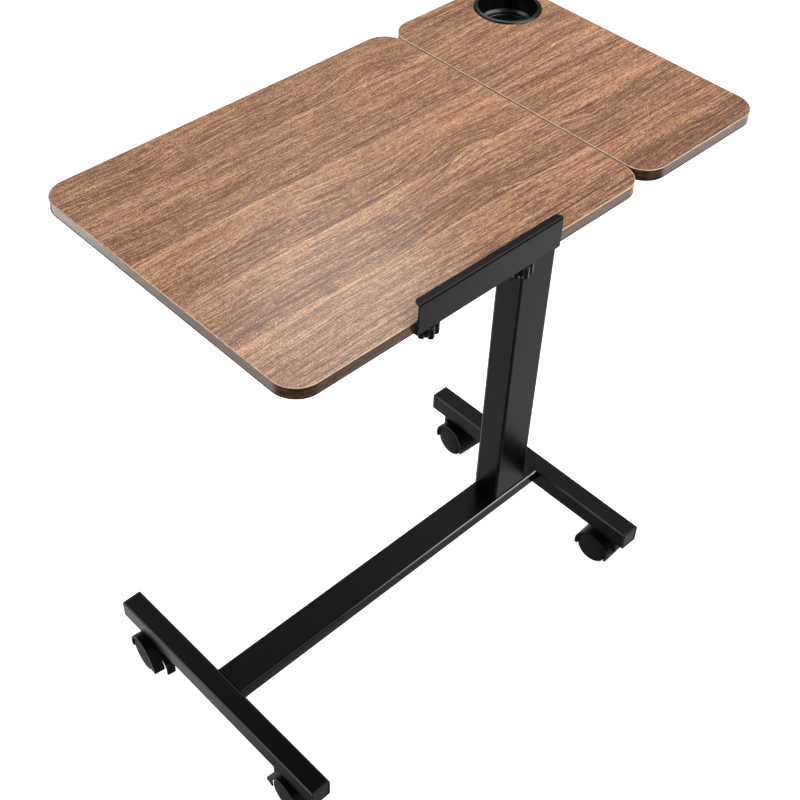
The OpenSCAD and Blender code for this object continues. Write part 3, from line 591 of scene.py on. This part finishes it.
# ------------------------------------------------------------------ table tops
def table_top(name, node, band_node, mat, body):
    lo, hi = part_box(band_node)
    c, s = (lo + hi) / 2, hi - lo
    R = 30 * MM
    t = 1.0 * MM
    z0, z1 = lo.z, hi.z
    # board core with its laminate: flat top, a hair's round at the arris
    out = rr_outline(s.x - 2 * t, s.y - 2 * t, R - t, 40)
    holes = []
    v, f = ring_stack(prism(out, z0, z1, 0.15 * MM, 2), True, True)
    v = [(x + c.x, y + c.y, z) for x, y, z in v]
    if node == "side_top":
        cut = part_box("cup_holder")
        holes.append(((cut[0].x + cut[1].x) / 2, (cut[0].y + cut[1].y) / 2, 39.2 * MM))
    o = make(name, v, f, mat, body, [node])
    if holes:
        hx, hy, hr = holes[0]
        v2, f2 = revolve([(0, z0 - 0.01), (hr, z0 - 0.01), (hr, z1 + 0.01), (0, z1 + 0.01)], 128)
        cutter = bpy.data.meshes.new("cut")
        cutter.from_pydata([(x + hx, y + hy, z) for x, y, z in v2], [], f2)
        cutter.update()
        co = bpy.data.objects.new("cut", cutter)
        bpy.context.scene.collection.objects.link(co)
        md = o.modifiers.new("hole", "BOOLEAN")
        md.operation = "DIFFERENCE"
        md.solver = "EXACT"
        md.object = co
        o.modifiers.move(o.modifiers.find("hole"), 0)
        dg = bpy.context.evaluated_depsgraph_get()
        baked = bpy.data.meshes.new_from_object(o.evaluated_get(dg))
        o.modifiers.clear()
        o.data = baked
        bpy.data.objects.remove(co)
        baked.polygons.foreach_set("use_smooth", [True] * len(baked.polygons))
        baked.set_sharp_from_angle(angle=math.radians(35))
        w = o.modifiers.new("normals", "WEIGHTED_NORMAL")
        w.keep_sharp = True
        w.weight = 100
    # edge band: a 1 mm strip round the board, trimmed round at top and bottom
    outer = rr_outline(s.x, s.y, R, 40)
    inner = rr_outline(s.x - 2 * t, s.y - 2 * t, R - t, 40)
    n = len(outer)
    b = 0.45 * MM
    rings = [[(x, y, z0 + 0.05 * MM) for x, y in inner]]
    for i in range(5):
        a = math.pi / 2 * i / 4
        rings.append([(x, y, z0 + b * (1 - math.sin(a))) for x, y in inset(outer, b * (1 - math.cos(a)))])
    for i in range(5):
        a = math.pi / 2 * (1 - i / 4)
        rings.append([(x, y, z1 - b * (1 - math.sin(a))) for x, y in inset(outer, b * (1 - math.cos(a)))])
    rings.append([(x, y, z1 - 0.05 * MM) for x, y in inner])
    v, f = ring_stack(rings, False, False)
    k = len(rings)
    f += [((k - 1) * n + i, (k - 1) * n + (i + 1) % n, (i + 1) % n, i) for i in range(n)]
    # the top arris takes the pale arris material: the band's light core colour plus a painted highlight along the edge
    mi = []
    for r in range(k - 1):
        mi += [1 if r >= k - 4 else 0] * n
    mi += [0] * n
    v = [(x + c.x, y + c.y, z) for x, y, z in v]
    make(name + "_band", v, f, [M["band"], M["arris"]], body, [band_node], mi, smooth=50, weighted=False)


table_top("main_board", "main_top", "main_top_edge_band", M["main"], "tilt_top")
table_top("side_board", "side_top", "side_top_edge_band", M["side"], "mast")


# ------------------------------------------------------------------ stop bar
def stop_bar():
    lo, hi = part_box("stop_bar")
    t = 1.5 * MM
    yf, zb, zt = lo.y, lo.z, hi.z
    fl, lip, rb = hi.y - lo.y, 9 * MM, 2.5 * MM
    # centre path of the sheet, outside face listed from the flange's end round to the lip's end
    def path(off):
        p = [(yf + fl, zb + off)]
        for i in range(9):
            a = math.radians(-90 - 90 * i / 8)
            r = rb - off
            p.append((yf + rb + r * math.cos(a), zb + rb + r * math.sin(a)))
        for i in range(9):
            a = math.radians(180 - 90 * i / 8)
            r = rb - off
            p.append((yf + rb + r * math.cos(a), zt - rb + r * math.sin(a)))
        p.append((yf + lip, zt - off))
        return p
    outer, inner = path(0.0), path(t)
    n = len(outer)
    # outline along X: ends of lip and flange are rounded, so each row of the path has its own end
    x0, x1 = lo.x, hi.x
    def end_in(y, z):
        if z > zt - t - 1e-6 and y > yf + lip - 6 * MM:
            d = y - (yf + lip - 6 * MM)
            return 6 * MM - math.sqrt(max(0.0, (6 * MM) ** 2 - d * d))
        if z < zb + t + 1e-6 and y > yf + fl - 8 * MM:
            d = y - (yf + fl - 8 * MM)
            return 8 * MM - math.sqrt(max(0.0, (8 * MM) ** 2 - d * d))
        return 0.0
    def flange_dense():
        # points bunch up towards the rounded ends, so that the arcs come out smooth
        def bunch(a, b, rad, rev):
            L = math.dist(a, b)
            pts = []
            for i in range(13):
                q = (1 - math.cos(math.radians(90 * i / 12))) * rad
                pts.append(q)
            pts.append(L)
            if not rev:
                return [(a[0] + (b[0] - a[0]) * q / L, a[1] + (b[1] - a[1]) * q / L) for q in pts]
            return [(b[0] + (a[0] - b[0]) * q / L, b[1] + (a[1] - b[1]) * q / L) for q in reversed(pts)]
        res = []
        for p in (outer, inner):
            first = bunch(p[0], p[1], 8 * MM, False)
            last = bunch(p[-2], p[-1], 6 * MM, True)
            res.append(first + p[2:-2] + last)
        return res
    O, I = flange_dense()
    e = 0.25 * MM
    loop = O + list(reversed(I))
    m = len(loop)
    def ring(sx, inward, shrink):
        xs = x0 if sx < 0 else x1
        pts = []
        for i, (y, z) in enumerate(loop):
            # shrink pulls the ring towards the middle of the sheet's thickness
            j = m - 1 - i
            oy, oz = loop[j]
            dy, dz = oy - y, oz - z
            L = math.hypot(dy, dz) or 1.0
            x = xs - sx * (end_in(y, z) + inward)
            pts.append((x, y + dy / L * shrink, z + dz / L * shrink))
        return pts
    rings = [ring(-1, 0, e), ring(-1, 0.3 * e, 0.3 * e), ring(-1, e, 0), ring(1, e, 0), ring(1, 0.3 * e, 0.3 * e), ring(1, 0, e)]
    v, f = ring_stack(rings, False, False)
    half = m // 2
    for base, flip in ((0, True), ((len(rings) - 1) * m, False)):
        for i in range(half - 1):
            q = (base + i, base + i + 1, base + m - 2 - i, base + m - 1 - i)
            f.append(tuple(reversed(q)) if flip else q)
    o = make("stop_bar_sheet", v, f, M["bar"], "tilt_top", ["stop_bar"], smooth=40)
    return o


stop_bar()


def stop_pad():
    lo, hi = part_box("stop_bar_pad")
    c, s = (lo + hi) / 2, hi - lo
    out = rr_outline(s.x, s.z, 1.2 * MM, 6)
    rings = prism(out, -s.y / 2, s.y / 2, 0.3 * MM, 3)
    v, f = ring_stack(rings)
    v = [(c.x + x, c.y + z, c.z + y) for x, y, z in v]
    make("stop_pad_strip", v, f, M["rubber"], "tilt_top", ["stop_bar_pad"])


stop_pad()


# ------------------------------------------------------------------ knobs
def star_knob(name, node, origin, axes, r, h, hub_r, hub_h, lobes, body, bore):
    """Hand knob: soft lobes, dished crown, hub and a bore for its stud. axes are its own X, Y and Z, and Z runs from the crown to the shank."""
    N = 24 * lobes
    rl = r * 0.28
    rc = r * 0.72
    def lobe_radius(a, grow=0.0):
        p = 2 * math.pi / lobes
        a0 = (a - math.radians(90 / lobes)) % p
        if a0 > p / 2:
            a0 -= p
        R0 = rl + grow
        s = rc * math.sin(a0)
        hit = rc * math.cos(a0) + math.sqrt(max(0.0, R0 * R0 - s * s)) if abs(s) < R0 else 0.0
        base = rc + grow
        # smooth union of the hub disc and the lobe
        k = 0.10 * r
        hh = max(0.0, min(1.0, 0.5 + 0.5 * (hit - base) / k))
        return base + (hit - base) * hh + k * hh * (1 - hh) * 0.5
    def ring(z, shrink, scale=1.0):
        return [((lobe_radius(a) - shrink) * scale * math.cos(a), (lobe_radius(a) - shrink) * scale * math.sin(a), z) for a in (2 * math.pi * i / N for i in range(N))]
    def circ(z, rad):
        return [(rad * math.cos(2 * math.pi * i / N), rad * math.sin(2 * math.pi * i / N), z) for i in range(N)]
    b = min(2.2 * MM, h * 0.18)
    rings = [circ(bore[1], bore[0]), circ(h + hub_h - 0.3 * MM, bore[0]), circ(h + hub_h, bore[0] + 0.3 * MM), circ(h + hub_h, hub_r - 0.6 * MM), circ(h + hub_h - 0.2 * MM, hub_r - 0.15 * MM), circ(h + hub_h - 0.6 * MM, hub_r),
             circ(h + 0.8 * MM, hub_r), circ(h + 0.2 * MM, hub_r + 0.3 * MM), circ(h, hub_r + 0.9 * MM)]
    for i in range(5):
        a = math.pi / 2 * i / 4
        rings.append(ring(h - b * (1 - math.cos(a)), b * (1 - math.sin(a))))
    for i in range(5):
        a = math.pi / 2 * i / 4
        rings.append(ring(b * (1 - math.sin(a)), b * (1 - math.cos(a))))
    rings.append(circ(0.0, r * 0.56))
    rings.append(circ(0.12 * MM, r * 0.52))
    rings.append(circ(0.65 * MM, r * 0.44))
    rings.append(circ(0.80 * MM, r * 0.38))
    rings.append(circ(0.80 * MM, r * 0.10))
    v, f = ring_stack(rings, True, True)
    q = Matrix(axes).transposed().to_4x4()
    v, f = xf((v, f), Matrix.Translation(origin) @ q)
    make(name, v, f, M["knob"], body, [node], smooth=48)


for nm, nd, bd in (("stop_knob_left", "left_stop_knob", "left_stop_screw"), ("stop_knob_right", "right_stop_knob", "right_stop_screw")):
    lo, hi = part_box(nd)
    star_knob(nm, nd, Vector(((lo.x + hi.x) / 2, (lo.y + hi.y) / 2, lo.z)), ((1, 0, 0), (0, 1, 0), (0, 0, 1)), 13 * MM, 16 * MM, 7.5 * MM, 5.8 * MM, 6, bd, (3 * MM, 8.8 * MM))


hk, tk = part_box("height_knob"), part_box("tilt_lock_knob")
star_knob("height_knob_grip", "height_knob", Vector(((hk[0].x + hk[1].x) / 2, hk[1].y, hk[1].z - 21 * MM)), ((1, 0, 0), (0, 0, 1), (0, -1, 0)), 21 * MM, 15 * MM, 11 * MM, 7 * MM, 5, "height_clamp", (4 * MM, 5 * MM))
star_knob("tilt_knob_grip", "tilt_lock_knob", Vector((tk[1].x, tk[1].y - 19 * MM, (tk[0].z + tk[1].z) / 2)), ((0, 0, 1), (0, 1, 0), (-1, 0, 0)), 19 * MM, 13 * MM, 10 * MM, 6.6 * MM, 5, "tilt_clamp", (4 * MM, 4 * MM))


# ------------------------------------------------------------------ cup holder
def cup():
    lo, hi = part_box("cup_holder")
    cx, cy = (lo.x + hi.x) / 2, (lo.y + hi.y) / 2
    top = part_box("side_top")[1].z
    r, fr, d = 37 * MM, 42.5 * MM, 25 * MM
    pts = [(0, -d - 2 * MM), (r - 4 * MM, -d - 2 * MM), (r + 1 * MM, -d + 3 * MM), (r + 1.8 * MM, -1 * MM), (r + 1.8 * MM, 0), (fr, 0), (fr, 0.9 * MM), (fr - 1.3 * MM, 2 * MM),
           (r + 1.2 * MM, 2.4 * MM), (r + 0.3 * MM, 2.2 * MM), (r, 1.6 * MM), (r, -d + 3.5 * MM), (r - 3.5 * MM, -d), (r - 7 * MM, -d), (r - 7.6 * MM, -d + 0.5 * MM), (r - 9 * MM, -d + 0.5 * MM), (r - 9.6 * MM, -d), (0, -d)]
    rad = [0, 3 * MM, 3 * MM, 0, 0.2 * MM, 0.3 * MM, 0.6 * MM, 1.4 * MM, 0.8 * MM, 0.6 * MM, 0.6 * MM, 2.6 * MM, 2.6 * MM, 0.2 * MM, 0.2 * MM, 0.2 * MM, 0.2 * MM, 0]
    prof = round_profile(pts, rad, 5)
    v, f = revolve(prof, 144)
    v = [(x + cx, y + cy, z + top) for x, y, z in v]
    make("cup_insert", v, f, M["cup"], "cup", ["cup_holder"], smooth=40)


cup()


# ------------------------------------------------------------------ foot end caps
def end_caps():
    parts = []
    for side in ("left", "right"):
        lo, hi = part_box(side + "_foot_tube")
        cl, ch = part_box("foot_end_caps")
        cx, cz = (lo.x + hi.x) / 2, (lo.z + hi.z) / 2
        w, d = hi.x - lo.x, hi.z - lo.z
        for s in (-1, 1):
            y_in = lo.y if s < 0 else hi.y
            y_out = cl.y if s < 0 else ch.y
            L = abs(y_out - y_in)
            rings = []
            def rg(k, y, rr):
                return [(cx + px, y_in + s * y, cz + pz) for px, pz in rr_outline(w - 2 * k, d - 2 * k, max(rr, 0.3 * MM), 8)]
            # spigot inside the tube, then the visible plate with a rounded border and a sunk panel
            rings = [rg(3.5 * MM, -15 * MM, 0.5 * MM), rg(1.55 * MM, -14.5 * MM, 1 * MM), rg(1.55 * MM, 0, 1 * MM), rg(0, 0.02 * MM, 2.5 * MM), rg(0, L - 0.8 * MM, 2.5 * MM), rg(0.25 * MM, L - 0.3 * MM, 2.4 * MM), rg(0.8 * MM, L, 2.2 * MM),
                     rg(2.6 * MM, L, 1.4 * MM), rg(2.9 * MM, L - 0.15 * MM, 1.3 * MM), rg(3.2 * MM, L - 0.7 * MM, 1.2 * MM), rg(3.6 * MM, L - 0.8 * MM, 1.0 * MM), rg(8 * MM, L - 0.75 * MM, 0.8 * MM)]
            parts.append(ring_stack(rings))
    v, f = merge(*parts)
    make("end_caps", v, f, M["cap"], "base", ["foot_end_caps"], smooth=40)


end_caps()


# ------------------------------------------------------------------ wheels
WHEEL = [((0, 19.9), 0), ((3.05, 19.9), 0), ((3.05, 4.2), 0.2), ((7, 4.2), 0.4), ((7, 12), 0.6), ((21.5, 12), 0.8), ((21.5, 9.3), 0.4), ((24.3, 9.3), 0.35), ((25, 10), 0.5), ((25, 19.4), 1.2),
         ((23.9, 20.5), 0.8), ((22.6, 20.8), 0.25), ((22.3, 20.4), 0.15), ((21.6, 20.4), 0.15), ((21.2, 21), 0.3), ((12, 21.8), 3.0), ((0, 22), 0)]


def wheel(corner, which, sign, yaw):
    node = corner + "_" + which + "_wheel"
    lo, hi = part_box(corner + "_axle")
    prof = round_profile([(r * MM, d * MM) for (r, d), _ in WHEEL], [k * MM for _, k in WHEEL], 4)
    prof = [(max(r, 0.0), d) for r, d in prof]
    a = math.radians(yaw)
    z = Vector((math.cos(a), math.sin(a), 0)) * sign
    x = Vector((0, 0, 1))
    m = Matrix.Translation((lo + hi) / 2) @ Matrix((x, z.cross(x), z)).transposed().to_4x4()
    v, f = xf(revolve(prof, 128), m)
    make(node + "_tyre", v, f, M["wheel"], corner + "_" + which, [node], smooth=40)


for corner, side, yaw in (("back_left", -1, -7.0), ("front_left", -1, -3.5), ("back_right", 1, -4.0), ("front_right", 1, 3.0)):
    wheel(corner, "outer", side, yaw)
    wheel(corner, "inner", -side, yaw)


# ------------------------------------------------------------------ moulded pieces and tubes with their arrises
def soft(name, node, body, mat, edge, width):
    """The node's own shape with every sharp edge broken by a small radius."""
    me = NODES[node].data.copy()
    me.name = name
    me.materials.clear()
    me.materials.append(mat)
    me.materials.append(edge)
    bm = bmesh.new()
    bm.from_mesh(me)
    bmesh.ops.remove_doubles(bm, verts=bm.verts, dist=2e-6)
    bmesh.ops.dissolve_limit(bm, angle_limit=math.radians(0.6), verts=bm.verts, edges=bm.edges)
    for fc in bm.faces:
        fc.material_index = 0
        fc.smooth = True
    bm.to_mesh(me)
    bm.free()
    o = bpy.data.objects.new(name, me)
    bpy.context.scene.collection.objects.link(o)
    b = o.modifiers.new("arris", "BEVEL")
    b.width = width
    b.segments = 2
    b.limit_method = "ANGLE"
    b.angle_limit = math.radians(38)
    b.use_clamp_overlap = True
    b.harden_normals = True
    b.material = 1
    me.set_sharp_from_angle(angle=math.radians(38))
    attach(o, body)
    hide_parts(node)


for corner in ("back_left", "front_left", "back_right", "front_right"):
    soft(corner + "_hood_shell", corner + "_hood", corner + "_fork", M["hood"], M["hood_edge"], 0.4 * MM)
for corner in ("back_left", "front_left"):
    soft(corner + "_brake_tread", corner + "_brake_lever", corner + "_brake", M["hood"], M["hood_edge"], 0.5 * MM)
soft("column_bush", "guide_bush", "base", M["plastic"], M["plastic"], 0.4 * MM)


def tube(name, node, body):
    """The node's own shape, with the coat lying thinner and glossier on its round corners."""
    me = NODES[node].data.copy()
    me.name = name
    me.materials.clear()
    me.materials.append(M["coat"])
    me.materials.append(M["coat_edge"])
    me.materials.append(M["rail_edge"])
    for pl in me.polygons:
        pl.material_index = 0 if max(abs(c) for c in pl.normal) > 0.999 else 1
        if node == "rail_tube" and pl.normal.z > 0.02 and pl.normal.y < -0.02 and pl.material_index:
            pl.material_index = 2
    o = bpy.data.objects.new(name, me)
    bpy.context.scene.collection.objects.link(o)
    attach(o, body)
    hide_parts(node)


for nd, bd in (("left_foot_tube", "base"), ("right_foot_tube", "base"), ("rail_tube", "base"), ("column_outer_tube", "base"), ("column_inner_tube", "mast")):
    tube(nd.replace("_tube", "_section"), nd, bd)


# ------------------------------------------------------------------ carried-over frame pieces
for n in ("left_foot_tube", "right_foot_tube", "rail_tube", "column_outer_tube", "column_inner_tube", "head_channel", "shaft_plates", "tilt_shaft", "tilt_quadrant", "left_tilt_bracket", "right_tilt_bracket"):
    NODES[n].data.materials.clear()
    NODES[n].data.materials.append(M["coat"])
for n in ("caster_bosses", "caster_stems", "column_base_block", "column_bolts", "height_boss", "height_stud", "shaft_collar", "side_top_screws", "bracket_screws", "tilt_lock_bolt", "left_stop_stud", "right_stop_stud",
          "back_left_axle", "front_left_axle", "back_right_axle", "front_right_axle"):
    NODES[n].data.materials.clear()
    NODES[n].data.materials.append(M["steel"])
for n in ("guide_bush", "mast_glide", "shaft_end_caps", "height_knob", "tilt_lock_knob"):
    NODES[n].data.materials.clear()
    NODES[n].data.materials.append(M["plastic"])
for n in ("pressure_pad", "stop_bar_inserts"):
    NODES[n].data.materials.clear()
    NODES[n].data.materials.append(M["brass"])
NODES["tilt_bushes"].data.materials.clear()
NODES["tilt_bushes"].data.materials.append(M["nylon"])
for n, o in NODES.items():
    if n.endswith("_hood") or n.endswith("_brake_lever"):
        o.data.materials.clear()
        o.data.materials.append(M["hood"])
    elif n.endswith("_wheel"):
        o.data.materials.clear()
        o.data.materials.append(M["wheel"])


# ------------------------------------------------------------------ stage
def floor():
    me = bpy.data.meshes.new("floor")
    s = 60.0
    me.from_pydata([(-s, -s, 0), (s, -s, 0), (s, s, 0), (-s, s, 0)], [], [(0, 1, 2, 3)])
    o = bpy.data.objects.new("floor", me)
    bpy.context.scene.collection.objects.link(o)
    m, nt, b = new_material("floor_paper")
    pos = coord(nt)
    n = noise(nt, pos, 40.0, 3.0, 0.6)
    link(nt, ramp(nt, n, [(0.3, 0.60), (0.7, 0.62)]), b.inputs["Base Color"])
    b.inputs["Roughness"].default_value = 0.9
    b.inputs["Specular IOR Level"].default_value = 0.1
    b.inputs["Emission Color"].default_value = (1, 1, 1, 1)
    b.inputs["Emission Strength"].default_value = 0.75
    me.materials.append(m)
    # white to look at, while the desk is lit only by the softboxes and the grey studio around it
    o.visible_diffuse = False
    o.visible_glossy = False
    o.visible_shadow = False
    o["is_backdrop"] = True
    # the same white paper, carried up and round the studio as a backdrop
    verts, faces = [], []
    seg, rows_ = 48, 12
    for k in range(rows_):
        a = math.pi / 2 * k / rows_
        verts += [(50 * math.cos(a) * math.cos(2 * math.pi * i / seg), 50 * math.cos(a) * math.sin(2 * math.pi * i / seg), 50 * math.sin(a) - 0.5) for i in range(seg)]
    verts.append((0, 0, 49.5))
    for k in range(rows_ - 1):
        for i in range(seg):
            j = (i + 1) % seg
            faces.append((k * seg + i, (k + 1) * seg + i, (k + 1) * seg + j, k * seg + j))
    for i in range(seg):
        faces.append(((rows_ - 1) * seg + i, len(verts) - 1, (rows_ - 1) * seg + (i + 1) % seg))
    bme = bpy.data.meshes.new("backdrop")
    bme.from_pydata(verts, [], faces)
    bo = bpy.data.objects.new("backdrop", bme)
    bpy.context.scene.collection.objects.link(bo)
    bm_, bt, bb = new_material("backdrop_paper")
    bb.inputs["Base Color"].default_value = (0, 0, 0, 1)
    bb.inputs["Roughness"].default_value = 1.0
    bb.inputs["Specular IOR Level"].default_value = 0.0
    bb.inputs["Emission Color"].default_value = (1, 1, 1, 1)
    bb.inputs["Emission Strength"].default_value = 1.0
    bme.materials.append(bm_)
    bo.visible_diffuse = bo.visible_glossy = bo.visible_shadow = bo.visible_transmission = False
    bo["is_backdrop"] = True


floor()


def area(name, loc, target, size, power, color=(1, 1, 1), shape="RECTANGLE"):
    d = bpy.data.lights.new(name, "AREA")
    d.shape = shape
    d.size, d.size_y = size
    d.energy = power
    d.color = color
    o = bpy.data.objects.new(name, d)
    bpy.context.scene.collection.objects.link(o)
    o.location = loc
    o.rotation_mode = "QUATERNION"
    o.rotation_quaternion = (Vector(target) - Vector(loc)).to_track_quat("-Z", "Y")
    o.visible_camera = False
    return o


area("key", (1.4, -1.2, 3.2), (0.0, 0.0, 0.6), (2.2, 2.2), 113)

# the studio around the desk: dim grey with a few soft panels, each (direction, cos of inner edge, cos of outer edge, radiance)
PANELS = [
    ((0.50, 0.55, 0.67), 0.9992, 0.9925, 5.4),
    ((0.44, 0.40, 0.80), 0.9985, 0.988, 1.5),
    ((0.25, 0.63, 0.735), 0.9985, 0.990, 5.6),
    ((0.58, 0.33, 0.745), 0.9985, 0.988, 3.6),
    ((-0.33, 0.56, -0.76), 0.997, 0.976, 2.1),
    ((-0.34, 0.76, -0.55), 0.997, 0.986, 5.0),
    ((-0.62, 0.48, -0.62), 0.996, 0.978, 1.7),
    ((0.74, -0.42, -0.525), 0.998, 0.975, 2.6),
    ((0.57, -0.435, -0.697), 0.9985, 0.986, 2.2),
    ((0.36, -0.435, -0.825), 0.9985, 0.986, 1.25),
    ((-0.74, 0.38, 0.55), 0.97, 0.92, 6.0),
    ((0.53, -0.74, 0.414), 0.9985, 0.990, 3.0),
    ((0.62, 0.72, -0.31), 0.97, 0.86, 1.3),
    ((-0.15, 0.95, -0.28), 0.97, 0.90, 1.0),
    ((-0.15, -0.94, -0.29), 0.98, 0.92, 1.5),
    ((-0.94, -0.12, -0.29), 0.98, 0.92, 1.5),
    ((0.93, 0.05, -0.36), 0.97, 0.90, 1.3),
    ((-0.25, -0.86, 0.44), 0.97, 0.88, 1.6),
]
w = bpy.data.worlds.new("studio")
bpy.context.scene.world = w
w.use_nodes = True
wn = w.node_tree
bg = wn.nodes["Background"]
tc = wn.nodes.new("ShaderNodeTexCoord")
sepw = wn.nodes.new("ShaderNodeSeparateXYZ")
link(wn, tc.outputs["Generated"], sepw.inputs[0])
sky = remap(wn, sepw.outputs["Z"], -0.3, 0.5, 0.13, 0.22)
for d, c0, c1, lum in PANELS:
    dv = Vector(d).normalized()
    dot = wn.nodes.new("ShaderNodeVectorMath")
    dot.operation = "DOT_PRODUCT"
    link(wn, tc.outputs["Generated"], dot.inputs[0])
    dot.inputs[1].default_value = dv
    s = wn.nodes.new("ShaderNodeMapRange")
    s.interpolation_type = "SMOOTHSTEP"
    s.inputs["From Min"].default_value = c1
    s.inputs["From Max"].default_value = c0
    s.inputs["To Min"].default_value = 0.0
    s.inputs["To Max"].default_value = lum
    link(wn, dot.outputs["Value"], s.inputs["Value"])
    sky = math_(wn, "ADD", sky, s.outputs[0])
link(wn, sky, bg.inputs["Strength"])
bg.inputs["Color"].default_value = (1, 1, 1, 1)

# ------------------------------------------------------------------ camera
cam_d = bpy.data.cameras.new("camera")
cam = bpy.data.objects.new("camera", cam_d)
bpy.context.scene.collection.objects.link(cam)
cam_d.sensor_width = 36.0
cam_d.lens = 1329.4 / 800 * 36.0
cam_d.clip_start, cam_d.clip_end = 0.05, 200.0
rv = Vector((2.22660509, -0.87974115, 0.4024305))
R = Matrix.Rotation(rv.length, 3, rv.normalized())
cam.matrix_world = Matrix.Translation((-0.85843, -0.83730, 1.61445)) @ Matrix((R[0], -R[1], -R[2])).transposed().to_4x4()
bpy.context.scene.camera = cam

sc = bpy.context.scene
sc.view_settings.view_transform = "Standard"
sc.view_settings.look = "None"
sc.view_settings.exposure = 0.0

lo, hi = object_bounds()
